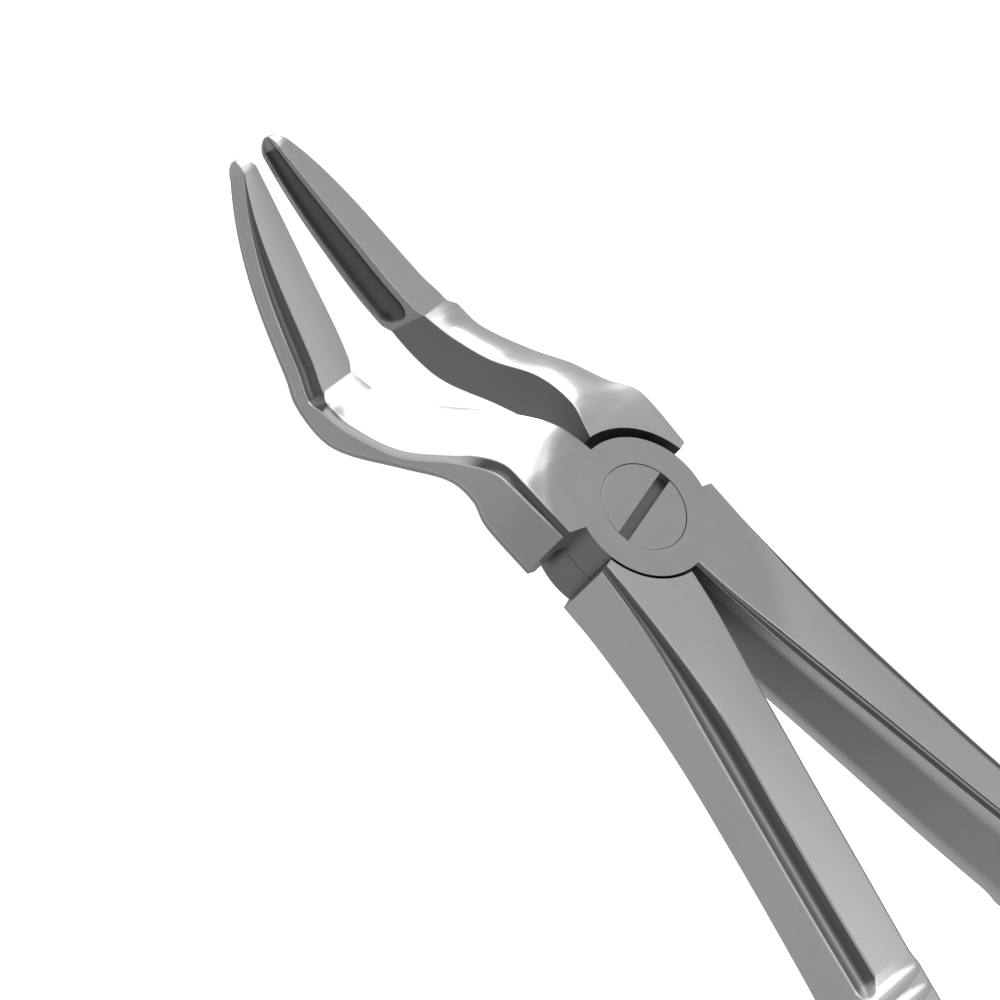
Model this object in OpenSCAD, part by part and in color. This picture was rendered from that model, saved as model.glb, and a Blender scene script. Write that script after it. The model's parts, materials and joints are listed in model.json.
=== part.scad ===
// Extraction forceps with a bayonet bend: two crossed steel halves on one slotted shoulder screw.
// Instrument frame: the hinge axis is Z, the joint's back face is z = 0 and the beaks point along +X.
// The whole tool is then turned by rest_tilt about Y, so that it lies level on its bends and handle ends.

/* [Joint] */
// Thickness of the closed joint, front face to back face
joint_t = 8.8; // [7:0.1:11]
// Thickness of the rear plate, which leaves the rest for the front plate
rear_plate_t = 4.3; // [3:0.1:5.5]
// Radius of both round joint plates
plate_r = 7.3; // [6:0.1:9]
// Running gap between the two lapped plates
lap_gap = 0.08; // [0.03:0.01:0.2]
// Gap between a plate's rim and the hollowed shoulder on the other half's handle
handle_shoulder_gap = 0.3; // [0.15:0.05:0.6]
// Gap between a plate's rim and the hollowed shoulder on the other half's shank
shank_shoulder_gap = 1; // [0.3:0.05:1.5]
// Angle of each shoulder's end face from the tool's cross axis, twice this is the window
shoulder_angle = 15; // [12:0.5:18]

/* [Pivot screw] */
// Diameter of the flush screw head
head_d = 9; // [7:0.1:10]
// Thickness of the screw head
head_t = 2.2; // [1.5:0.1:3]
// Diameter of the shoulder that the front half turns on
shoulder_d = 6; // [4:0.1:6.5]
// Diameter of the threaded end
thread_d = 4.6; // [3:0.1:5]
// Radial running clearance round the head and the shoulder
pivot_clearance = 0.05; // [0.02:0.01:0.1]
// Radial bite of the threaded end in the rear plate
thread_bite = 0.02; // [0:0.01:0.05]
// Width of the screwdriver slot
slot_w = 1.2; // [0.8:0.1:1.6]
// Depth of the screwdriver slot
slot_depth = 1; // [0.6:0.1:1.3]
// Direction of the screwdriver slot from the tool's long axis
slot_angle = 103; // [0:1:180]

/* [Shank] */
// Distance from the hinge to the crease at the foot of the beak
shank_reach = 28; // [24:0.5:34]
// Height of the crease below the joint's front face
bend_drop = 12.9; // [9:0.1:15]
// Depth of the shank from its top to its underside
shank_t = 5.5; // [4:0.1:6.5]
// Depth of the heel under the bend
heel_t = 5; // [4.5:0.1:7]
// Distance from the mid plane to the shank's inner face where it leaves the joint
shank_root_offset = 1.9; // [1.5:0.1:2.6]
// Width of the shank where it leaves the joint
shank_root_w = 7.1; // [5:0.1:8]
// Width of the shank at the bend
shank_bend_w = 4.9; // [3.5:0.1:6]

/* [Beak] */
// Length of the beak from the crease to the tip
beak_len = 22.6; // [18:0.2:28]
// Rise of the beak from the tool's long axis
beak_tilt = 12.5; // [5:0.5:18]
// Distance from the mid plane to the beak's inner face at its foot
beak_foot_offset = 5.7; // [4:0.1:7]
// Distance from the mid plane to the beak's inner face at its tip
beak_tip_offset = 1.8; // [1.2:0.1:3]
// Depth of the beak at its foot
beak_foot_t = 5.4; // [4:0.1:6.5]
// Depth of the beak near its tip
beak_tip_t = 2.9; // [2:0.1:4]
// Width of the beak near its tip
beak_tip_w = 1.7; // [1.2:0.1:2.6]
// Depth of the gouged channel in the beak's inner face
gouge_depth = 0.9; // [0.3:0.1:1.2]
// Length of the rounded tip of the beak
tip_r = 1.5; // [0.8:0.1:2.2]

/* [Handle] */
// Distance from the hinge to the end of a handle
handle_len = 124; // [105:1:140]
// Distance from the mid plane to the middle of the grip
grip_offset = 21; // [17:0.5:24]
// Width of the handle at the grip
grip_w = 7.6; // [6.5:0.1:9.5]
// Thickness of the handle at the grip
handle_t = 11; // [9:0.1:12]
// Fall of the handle's front edge below the joint's front face
handle_sink = 0.4; // [0:0.1:1]
// Fall of the handle's front and rear faces towards their outer edges
facet_fall = 1; // [0:0.1:1.4]
// Width of the concave flutes along the handle's outer edges
flute_w = 2; // [1:0.1:2.6]
// Height of the concave flutes along the handle's outer edges
flute_h = 1.5; // [1:0.1:2.4]
// Distance from the hinge to the first rib of the grip
rib_start = 49.6; // [44:0.2:60]
// Spacing of the two ribs that open the grip
rib_pitch = 2; // [1.6:0.1:3]
// Height of a rib above the handle
rib_h = 0.35; // [0.2:0.05:0.5]
// Length of the rounded end of the handle
end_r = 3.2; // [2:0.1:5]

/* [Hidden] */
$fn = 96;
EPS = 0.01;
REACH = 60;

lap_z = rear_plate_t + lap_gap;
heel_z = joint_t - bend_drop - heel_t;
handle_foot_z = joint_t - handle_sink - handle_t;
rest_tilt = atan((handle_foot_z - heel_z) / (shank_reach + 0.97 * handle_len));

// A row describes one cross-section: the top point x, z and the bottom point x, z in the tool's
// long plane, inner and outer distance from that plane, width and height of the two outer corners,
// their bulge (1 rounded, -1 hollow), fall of the top towards its outer edge, crown of the top,
// depth of the gouge in the inner face, width of the inner edges' bevel, and rise of the underside
// towards its outer edge.
function beak_row(f, gouge) =
    let (along = f * (beak_len - tip_r),
         deep = beak_foot_t + (beak_tip_t - beak_foot_t) * pow(f, 2.2),
         x = shank_reach + along * cos(beak_tilt),
         z = joint_t - bend_drop + along * sin(beak_tilt),
         inner = beak_foot_offset + (beak_tip_offset - beak_foot_offset) * pow(f, 0.75),
         wide = shank_bend_w + (beak_tip_w - shank_bend_w) * pow(f, 3.1))
    [x, z, x + deep * sin(beak_tilt), z - deep * cos(beak_tilt), inner, inner + wide,
     0.18 * wide, 0.23 * deep, -0.7, 0.1 * wide, 0.1, gouge, 0.12, 0.1 * wide];

outer_foot = plate_r + 1.7;
root_x = plate_r + 4.7;
run = shank_reach - root_x;
// Distance from the mid plane at share s of the way from the shank's root to the beak's foot.
function spread(s) = shank_root_offset + s * (beak_foot_offset - shank_root_offset);

// From inside the joint to the foot of the beak, then along the beak.
shank_rows = [
    [-2, joint_t, -2, 0, shank_root_offset - 3.3, outer_foot, 0.3, 0.6, -0.5, 0, 0, 0, 0.12, 0],
    [3, joint_t, 3, 0, shank_root_offset - 2.5, outer_foot + 0.4, 0.4, 0.8, -0.7, 0, 0, 0, 0.12, 0],
    [plate_r + 1.4, joint_t, plate_r + 0.9, 0, shank_root_offset - 1.2, outer_foot + 0.7,
     0.6, 1, -0.7, 0.2, 0, 0, 0.12, 0],
    [root_x, joint_t - 0.4, root_x - 1.2, 0, spread(0), spread(0) + shank_root_w,
     0.7, 1.1, -0.5, 1.5, 0.3, 0, 0.12, 0],
    [root_x + 0.26 * run, joint_t - 0.27 * bend_drop, root_x + 1.4, joint_t - 0.27 * bend_drop - shank_t,
     spread(0.42), spread(0.37) + 0.9 * shank_root_w, 0.6, 0.8, 0.5, 1.9, 0.5, 0, 0.12, 0.6],
    [root_x + 0.53 * run, joint_t - 0.65 * bend_drop, root_x + 0.53 * run - 0.65 * shank_t,
     joint_t - 0.65 * bend_drop - 0.65 * shank_t, spread(0.69), spread(0.74) + 0.82 * shank_root_w,
     0.6, 0.8, 0.7, 1.7, 0.5, 0, 0.12, 0.8],
    [root_x + 0.78 * run, joint_t - 0.9 * bend_drop, root_x + 0.78 * run - 0.55 * heel_t,
     joint_t - 0.9 * bend_drop - heel_t, spread(0.95), spread(0.97) + shank_bend_w,
     0.6, 0.8, 0.7, 1.2, 0.4, 0, 0.12, 0.5],
    [root_x + 0.92 * run, joint_t - 0.97 * bend_drop, root_x + 0.92 * run - 0.35 * heel_t,
     joint_t - bend_drop - heel_t, spread(0.98), spread(1) + shank_bend_w,
     0.6, 0.9, 0.6, 0.8, 0.3, 0, 0.12, 0.2],
    beak_row(0, 0),
    beak_row(0.14, gouge_depth * 0.8),
    beak_row(0.36, gouge_depth),
    beak_row(0.6, gouge_depth * 0.9),
    beak_row(0.82, gouge_depth * 0.65),
    beak_row(1, gouge_depth * 0.3)
];

// Every twelfth of the handle: distance of its middle from the mid plane and its width, both as a
// share of the grip's, from the joint to the end.
handle_bow = [0.19, 0.243, 0.337, 0.443, 0.55, 0.663, 0.775, 0.88, 0.96, 1, 1, 0.975, 0.945];
handle_wide = [1.17, 1.12, 1.07, 1, 0.95, 0.91, 0.92, 0.96, 0.99, 1.03, 1.04, 1.02, 0.95];
handle_rows = [
    for (i = [0:len(handle_bow) - 1])
        let (f = i / (len(handle_bow) - 1),
             x = -f * (handle_len - end_r),
             grow = smooth((f - 0.09) / 0.37),
             thick = joint_t + (handle_t - joint_t) * grow,
             top = joint_t - handle_sink * smooth(f / 0.4),
             middle = handle_bow[i] * grip_offset,
             wide = handle_wide[i] * grip_w,
             cut = smooth((f - 0.02) / 0.15))
        [x, top, x, top - thick, middle - wide / 2, middle + wide / 2,
         flute_w * (0.15 + 0.85 * cut), flute_h * (0.4 + 0.6 * cut), -0.6,
         facet_fall * smooth((f - 0.08) / 0.27), 0.1 * cut, 0, 0.1 + 0.6 * cut,
         facet_fall * smooth((f - 0.08) / 0.27)]
];

function smooth(t) = let (c = min(max(t, 0), 1)) c * c * (3 - 2 * c);

// A smooth curve through rows of numbers, at place u counted in rows.
function curve_at(rows, u) =
    let (last = len(rows) - 1,
         i = min(floor(u), last - 1),
         t = u - i,
         b = rows[i],
         c = rows[i + 1],
         a = i > 0 ? rows[i - 1] : 2 * b - c,
         d = i < last - 1 ? rows[i + 2] : 2 * c - b)
    (2 * b + (c - a) * t + (2 * a - 5 * b + 4 * c - d) * t * t + (3 * b - a - 3 * c + d) * t * t * t) / 2;

GOUGE_STEPS = [1, 0.87, 0.74, 0.5, 0.26, 0.13, 0];
CORNER_STEPS = [0, 0.25, 0.5, 0.75, 1];
function corner(from, to, outer, inner, bulge) =
    let (pull = outer * (1 + bulge) / 2 + inner * (1 - bulge) / 2)
    [for (t = CORNER_STEPS) from * (1 - t) * (1 - t) + pull * 2 * t * (1 - t) + to * t * t];

// The outline of one cross-section, as distances out from the inner face and up from the bottom.
// under is the bulge of its lower outer corner, which is wider than the upper one where it is rounded.
function outline(row, raise, under) =
    let (w = row[5] - row[4] + raise,
         h = norm([row[0] - row[2], row[1] - row[3]]),
         cw = row[6],
         ch = row[7],
         fall = row[9],
         crown = row[10],
         bevel = row[12],
         rise = row[13],
         uw = under > 0 ? 1.8 * cw : cw,
         uh = under > 0 ? 1.4 * ch : ch,
         top = h - fall)
    concat(
        [for (v = GOUGE_STEPS)
            [row[11] * sqrt(max(0, 1 - pow((v - 0.5) / 0.4, 2))), bevel + (h - 2 * bevel) * v]],
        [[bevel, -raise], [w * 0.5, rise * 0.5 - raise - crown]],
        corner([w - uw, rise - raise], [w, rise + uh], [w, rise - raise], [w - uw, rise + uh], under),
        corner([w, top - ch], [w - cw, top + raise], [w, top + raise], [w - cw, top - ch], row[8]),
        [[w * 0.5, h - fall * 0.5 + crown + raise], [bevel, h + raise]]
    );

// One ring of points in space. side is 1 or -1, shrink draws the ring in towards its own middle
// and ahead pushes it along the arm, for the domes that close the ends.
function ring(row, side, raise = 0, shrink = 1, ahead = [0, 0]) =
    let (h = norm([row[0] - row[2], row[1] - row[3]]),
         up = [row[0] - row[2], row[1] - row[3]] / h,
         mid = [(row[5] - row[4]) / 2, h / 2])
    [for (p = outline(row, raise, side > 0 ? 0.8 : row[8]))
        let (q = mid + (p - mid) * shrink)
        [row[2] + up[0] * q[1] + ahead[0], side * (row[4] + q[0]), row[3] + up[1] * q[1] + ahead[1]]];

DOME = [22, 44, 62, 75];
module loft(rings) {
    n = len(rings[0]);
    last = len(rings) - 1;
    middle = function (r) [for (k = [0:n - 1]) 1] * r / n;
    quads = [for (r = [0:last - 1]) for (k = [0:n - 1])
        let (a = r * n + k, b = r * n + (k + 1) % n)
        each [[a, a + n, b], [b, a + n, b + n]]];
    caps = [for (k = [0:n - 1])
        let (a = k, b = (k + 1) % n)
        each [[a, b, (last + 1) * n], [last * n + b, last * n + a, (last + 1) * n + 1]]];
    faces = concat(quads, caps);
    points = concat([for (r = rings) each r], [middle(rings[0]), middle(rings[last])]);
    polyhedron(points = points, faces = faces);
}

// Near the joint the top is ground level with the front face, so the screw head stays clear of it.
function ground(row) = [for (i = [0:len(row) - 1]) i == 1 ? min(row[i], joint_t) : row[i]];

SHANK_STEPS = 4;
module shank_and_beak() {
    last = len(shank_rows) - 1;
    body = [for (k = [0:last * SHANK_STEPS]) ring(ground(curve_at(shank_rows, k / SHANK_STEPS)), 1)];
    dome = [for (a = DOME)
        ring(shank_rows[last], 1, 0, cos(a), tip_r * sin(a) * [cos(beak_tilt), sin(beak_tilt)])];
    loft(concat(body, dome));
}

HANDLE_STEPS = 2;
RIB_STEPS = [-0.9, -0.5, 0, 0.5, 0.9];
CLOSING_STEPS = [1.4, 1.15, 0.9, 0.65];
function rib_raise(x) =
    max([for (k = [0, 1]) rib_h * max(0, 1 - pow((-x - rib_start - k * rib_pitch) / (rib_pitch * 0.45), 2))]);
// The flutes and bevels close just before the ribs, so that the grip has full, eased corners.
GRIP_CORNER = [0.8, 0.8, 0.7];
GRIP_BEVEL = 0.5;
function closed(row) =
    let (g = smooth((-row[0] - rib_start) / rib_pitch + 1.4))
    [for (i = [0:len(row) - 1])
        i >= 6 && i <= 8 ? row[i] * (1 - g) + GRIP_CORNER[i - 6] * g :
        i == 12 ? row[i] * (1 - g) + GRIP_BEVEL * g : row[i]];

module handle() {
    last = len(handle_rows) - 1;
    pitch = (handle_len - end_r) / last;
    plain = [for (k = [0:last * HANDLE_STEPS]) k / HANDLE_STEPS];
    ribs = concat(
        [for (s = CLOSING_STEPS) (rib_start - s * rib_pitch) / pitch],
        [for (k = [0, 1]) for (s = RIB_STEPS) (rib_start + (k + s * 0.5) * rib_pitch) / pitch]);
    before = [for (u = plain) if (u < ribs[0] - 0.05) u];
    after = [for (u = plain) if (u > ribs[len(ribs) - 1] + 0.05) u];
    body = [for (u = concat(before, ribs, after)) ring(closed(curve_at(handle_rows, u)), -1, rib_raise(-u * pitch))];
    dome = [for (a = DOME) ring(closed(handle_rows[last]), -1, 0, cos(a), [-end_r * sin(a), 0])];
    loft(concat(body, dome));
}

// Takes away what lies past a shoulder's end face, on the side that the other half swings into.
module past_shoulder(turn) {
    rotate([0, 0, turn]) translate([-REACH, 0, -REACH / 2]) cube([REACH, REACH, REACH]);
}

module past_handle_shoulder(turn) {
    rotate([0, 0, turn]) translate([0, -REACH, -REACH / 2]) cube([REACH, REACH, REACH]);
}

// The arms of one half. cut_z and cut_h are the layer that the other half's plate fills.
module arms(cut_z, cut_h) {
    difference() {
        shank_and_beak();
        past_shoulder(-shoulder_angle);
        translate([0, 0, cut_z]) cylinder(r = plate_r + shank_shoulder_gap, h = cut_h);
    }
    difference() {
        handle();
        past_handle_shoulder(-shoulder_angle);
        translate([0, 0, cut_z]) cylinder(r = plate_r + handle_shoulder_gap, h = cut_h);
    }
}

module front_half() {
    color([0.70, 0.71, 0.72]) rotate([0, -rest_tilt, 0]) difference() {
        union() {
            arms(-REACH / 4, REACH / 4 + lap_z);
            translate([0, 0, lap_z]) cylinder(r = plate_r, h = joint_t - lap_z);
        }
        translate([0, 0, -EPS]) cylinder(d = shoulder_d + 2 * pivot_clearance, h = joint_t + 2 * EPS);
        translate([0, 0, joint_t - head_t - lap_gap])
            cylinder(d = head_d + 2 * pivot_clearance, h = head_t + lap_gap + EPS);
    }
}

module rear_half() {
    color([0.64, 0.65, 0.66]) rotate([0, -rest_tilt, 0]) difference() {
        union() {
            mirror([0, 1, 0]) arms(rear_plate_t, REACH / 4);
            cylinder(r = plate_r, h = rear_plate_t);
        }
        translate([0, 0, -EPS]) cylinder(d = thread_d, h = rear_plate_t + 2 * EPS);
    }
}

module pivot_screw() {
    color([0.76, 0.77, 0.78]) rotate([0, -rest_tilt, 0]) difference() {
        union() {
            cylinder(d = thread_d + 2 * thread_bite, h = rear_plate_t + EPS);
            translate([0, 0, rear_plate_t]) cylinder(d = shoulder_d, h = joint_t - rear_plate_t - head_t + EPS);
            translate([0, 0, joint_t - head_t]) cylinder(d = head_d, h = head_t);
        }
        translate([0, 0, joint_t - slot_depth]) rotate([0, 0, slot_angle])
            translate([-head_d, -slot_w / 2, 0]) cube([2 * head_d, slot_w, slot_depth + EPS]);
    }
}

front_half();
rear_half();
pivot_screw();
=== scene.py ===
# %% [markdown]
# # Extraction forceps with a bayonet bend
# The instrument is three pieces of stainless steel: two crossed forgings and the slotted screw they
# turn on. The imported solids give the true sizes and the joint. Blender adds what a solid modeller
# leaves rough: crisp hand-ground facets, hollow flutes, a gouged bite, a knurled grip and the finish.

# %%
import json
import math
import bpy
import numpy as np
from mathutils import Matrix, Vector


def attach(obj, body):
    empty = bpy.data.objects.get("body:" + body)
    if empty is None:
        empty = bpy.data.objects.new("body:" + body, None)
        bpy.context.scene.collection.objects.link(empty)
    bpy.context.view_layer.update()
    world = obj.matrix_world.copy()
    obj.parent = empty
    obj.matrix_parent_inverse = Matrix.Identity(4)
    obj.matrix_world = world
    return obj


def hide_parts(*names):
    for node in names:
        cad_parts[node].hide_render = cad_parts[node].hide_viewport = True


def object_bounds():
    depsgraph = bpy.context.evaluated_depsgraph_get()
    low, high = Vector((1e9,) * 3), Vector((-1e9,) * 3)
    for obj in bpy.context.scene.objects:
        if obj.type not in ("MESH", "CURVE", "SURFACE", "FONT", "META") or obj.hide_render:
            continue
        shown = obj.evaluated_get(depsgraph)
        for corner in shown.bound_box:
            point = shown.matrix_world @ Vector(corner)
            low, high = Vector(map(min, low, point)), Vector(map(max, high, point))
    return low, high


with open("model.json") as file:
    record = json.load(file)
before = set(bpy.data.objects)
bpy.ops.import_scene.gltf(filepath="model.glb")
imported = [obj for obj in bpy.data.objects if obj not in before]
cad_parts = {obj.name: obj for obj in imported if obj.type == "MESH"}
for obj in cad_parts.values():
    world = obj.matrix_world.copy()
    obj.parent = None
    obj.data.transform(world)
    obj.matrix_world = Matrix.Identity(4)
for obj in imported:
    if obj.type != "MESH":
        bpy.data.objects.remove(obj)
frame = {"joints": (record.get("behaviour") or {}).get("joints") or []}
CAD_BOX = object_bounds()
print("CAD box", [round((b - a) * 1000, 2) for a, b in zip(*CAD_BOX)], "mm")

# %% [markdown]
# ## Sizes
# Every length is in millimetres in the instrument's own frame: the hinge axis is Z, the joint's back
# face is Z = 0 and the beaks point along X. The record says how that frame leans when the tool lies
# on a table, because the hinge axis in it is not quite upright, so the lean is read from there.

# %%
JOINT_T, REAR_PLATE_T, LAP_GAP = 8.8, 4.3, 0.08
PLATE_R, HANDLE_SHOULDER_GAP, SHANK_SHOULDER_GAP, SHOULDER_ANGLE = 7.3, 0.3, 1.0, 15.0
HEAD_D, HEAD_T, SHOULDER_D, THREAD_D, PIVOT_CLEARANCE = 9.0, 2.2, 6.0, 4.6, 0.05
SLOT_W, SLOT_DEPTH, SLOT_ANGLE = 1.2, 1.0, 103.0
SHANK_REACH, BEND_DROP, SHANK_T, HEEL_T = 28.0, 12.9, 5.5, 5.0
SHANK_ROOT_OFFSET, SHANK_ROOT_W, SHANK_BEND_W = 1.9, 7.1, 4.9
BEAK_LEN, BEAK_TILT, BEAK_FOOT_OFFSET, BEAK_TIP_OFFSET = 22.6, 12.5, 5.7, 1.8
BEAK_FOOT_T, BEAK_TIP_T, BEAK_TIP_W, GOUGE_DEPTH, TIP_R = 5.4, 2.9, 1.7, 0.9, 1.5
HANDLE_LEN, GRIP_OFFSET, GRIP_W, HANDLE_T, HANDLE_SINK, FACET_FALL = 124.0, 21.0, 7.6, 11.0, 0.4, 1.0
FLUTE_W, FLUTE_H, RIB_START, RIB_PITCH, RIB_H, END_R = 2.0, 1.5, 49.6, 2.0, 0.35, 3.2
LAP_Z = REAR_PLATE_T + LAP_GAP

hinge = frame["joints"][0]["axis"]
LEAN = math.atan2(-hinge[0], hinge[2])
print("the hinge axis leans", round(math.degrees(LEAN), 3), "degrees")


def to_row(points):
    """Instrument millimetres to row metres: a turn by LEAN about Y, then a thousandth."""
    p = np.asarray(points, float)
    c, s = math.cos(LEAN), math.sin(LEAN)
    return np.stack([p[..., 0] * c - p[..., 2] * s, p[..., 1], p[..., 0] * s + p[..., 2] * c], -1) / 1000


# %% [markdown]
# ## The two arms as rows of sections
# A forged arm changes section all the way along: flat in the joint, crowned on the shank, hollowed
# on the beak, fluted on the handle. A row holds one section: where its top and bottom lie, how far
# it stands from the mid plane, and how its corners are cut. A smooth curve through the rows gives
# any section in between, so a few rows describe the whole forging. The numbers in a row are: top x and
# z, bottom x and z, inner and outer distance from the mid plane, width, height and bulge of the outer
# corners, fall and crown of the top, a spare, width of the inner bevel, and rise of the underside.


# %%
def smooth(t):
    """The cubic 3t² - 2t³ between 0 and 1, level at both ends."""
    t = np.clip(t, 0, 1)
    return t * t * (3 - 2 * t)


def curve_at(rows, u):
    """Catmull-Rom curve through rows, at places u counted in rows; the ends run on straight."""
    rows = np.asarray(rows, float)
    padded = np.vstack([2 * rows[0] - rows[1], rows, 2 * rows[-1] - rows[-2]])
    i = np.minimum(np.floor(u).astype(int), len(rows) - 2)
    t = (u - i)[:, None]
    a, b, c, d = (padded[i + k] for k in range(4))
    return (2 * b + (c - a) * t + (2 * a - 5 * b + 4 * c - d) * t**2
            + (3 * b - a - 3 * c + d) * t**3) / 2


def beak_row(f):
    """Section at share f of the beak: its depth, inset and width fall off as powers of f."""
    along = f * (BEAK_LEN - TIP_R)
    tilt = math.radians(BEAK_TILT)
    deep = BEAK_FOOT_T + (BEAK_TIP_T - BEAK_FOOT_T) * f**2.2
    x = SHANK_REACH + along * math.cos(tilt)
    z = JOINT_T - BEND_DROP + along * math.sin(tilt)
    inner = BEAK_FOOT_OFFSET + (BEAK_TIP_OFFSET - BEAK_FOOT_OFFSET) * f**0.75
    wide = SHANK_BEND_W + (BEAK_TIP_W - SHANK_BEND_W) * f**3.1
    return [x, z, x + deep * math.sin(tilt), z - deep * math.cos(tilt), inner, inner + wide,
            0.18 * wide, 0.23 * deep, -0.7, 0.1 * wide, 0.1, 0, 0.12, 0.1 * wide]


def spread(s):
    """Distance from the mid plane at share s of the way from the shank's root to the beak's foot."""
    return SHANK_ROOT_OFFSET + s * (BEAK_FOOT_OFFSET - SHANK_ROOT_OFFSET)


FOOT, ROOT = PLATE_R + 1.7, PLATE_R + 4.7
RUN = SHANK_REACH - ROOT
SHANK_ROWS = np.array([
    [-2, JOINT_T, -2, 0, SHANK_ROOT_OFFSET - 3.3, FOOT, 0.3, 0.6, -0.5, 0, 0, 0, 0.12, 0],
    [3, JOINT_T, 3, 0, SHANK_ROOT_OFFSET - 2.5, FOOT + 0.4, 0.4, 0.8, -0.7, 0, 0, 0, 0.12, 0],
    [PLATE_R + 1.4, JOINT_T, PLATE_R + 0.9, 0, SHANK_ROOT_OFFSET - 1.2, FOOT + 0.7,
     0.6, 1, -0.7, 0.2, 0, 0, 0.12, 0],
    [ROOT, JOINT_T - 0.4, ROOT - 1.2, 0, spread(0), spread(0) + SHANK_ROOT_W,
     0.7, 1.1, -0.5, 1.5, 0.3, 0, 0.12, 0],
    [ROOT + 0.26 * RUN, JOINT_T - 0.27 * BEND_DROP, ROOT + 1.4, JOINT_T - 0.27 * BEND_DROP - SHANK_T,
     spread(0.42), spread(0.37) + 0.9 * SHANK_ROOT_W, 0.6, 0.8, 0.5, 1.9, 0.5, 0, 0.12, 0.6],
    [ROOT + 0.53 * RUN, JOINT_T - 0.65 * BEND_DROP, ROOT + 0.53 * RUN - 0.65 * SHANK_T,
     JOINT_T - 0.65 * BEND_DROP - 0.65 * SHANK_T, spread(0.69), spread(0.74) + 0.82 * SHANK_ROOT_W,
     0.6, 0.8, 0.7, 1.7, 0.5, 0, 0.12, 0.8],
    [ROOT + 0.78 * RUN, JOINT_T - 0.9 * BEND_DROP, ROOT + 0.78 * RUN - 0.55 * HEEL_T,
     JOINT_T - 0.9 * BEND_DROP - HEEL_T, spread(0.95), spread(0.97) + SHANK_BEND_W,
     0.6, 0.8, 0.7, 1.2, 0.4, 0, 0.12, 0.5],
    [ROOT + 0.92 * RUN, JOINT_T - 0.97 * BEND_DROP, ROOT + 0.92 * RUN - 0.35 * HEEL_T,
     JOINT_T - BEND_DROP - HEEL_T, spread(0.98), spread(1) + SHANK_BEND_W,
     0.6, 0.9, 0.6, 0.8, 0.3, 0, 0.12, 0.2],
    beak_row(0)])
CREASE = len(SHANK_ROWS) - 1
SHARES = np.array([0, 0.14, 0.36, 0.6, 0.82, 1])
BEAK_ROWS = np.array([beak_row(f) for f in SHARES])

BOW = np.array([0.19, 0.243, 0.337, 0.443, 0.55, 0.663, 0.775, 0.88, 0.96, 1, 1, 0.975, 0.945])
WIDE = np.array([1.17, 1.12, 1.07, 1, 0.95, 0.91, 0.92, 0.96, 0.99, 1.03, 1.04, 1.02, 0.95])
share = np.linspace(0, 1, len(BOW))
reach = -share * (HANDLE_LEN - END_R)
thick = JOINT_T + (HANDLE_T - JOINT_T) * smooth((share - 0.09) / 0.37)
top = JOINT_T - HANDLE_SINK * smooth(share / 0.4)
middle, wide = BOW * GRIP_OFFSET, WIDE * GRIP_W
cut = smooth((share - 0.02) / 0.15)
slant = FACET_FALL * smooth((share - 0.08) / 0.27)
zero = 0 * share
HANDLE_ROWS = np.stack([reach, top, reach, top - thick, middle - wide / 2, middle + wide / 2,
                        FLUTE_W * (0.15 + 0.85 * cut), FLUTE_H * (0.4 + 0.6 * cut), zero - 0.6, slant,
                        0.1 * cut, zero, 0.1 + 0.6 * cut, slant], 1)
print(CREASE + len(BEAK_ROWS), "rows shape the shank and beak,", len(HANDLE_ROWS), "the handle")

# %% [markdown]
# ## One section's outline
# The outline goes round the section once: down the inner face, under the arm, up the outer flank
# and back over the top. Its corners are hollow on the handle and beak, because a grinder's wheel
# cut a flute there, and round on the shank. Ground steel has no knife edges, so each sharp corner
# is then swapped for a short curve, which is what catches the light.

# %%
INNER_N, FACE_N, FLANK_N, CORNER_N = 48, 26, 24, 13


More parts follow.
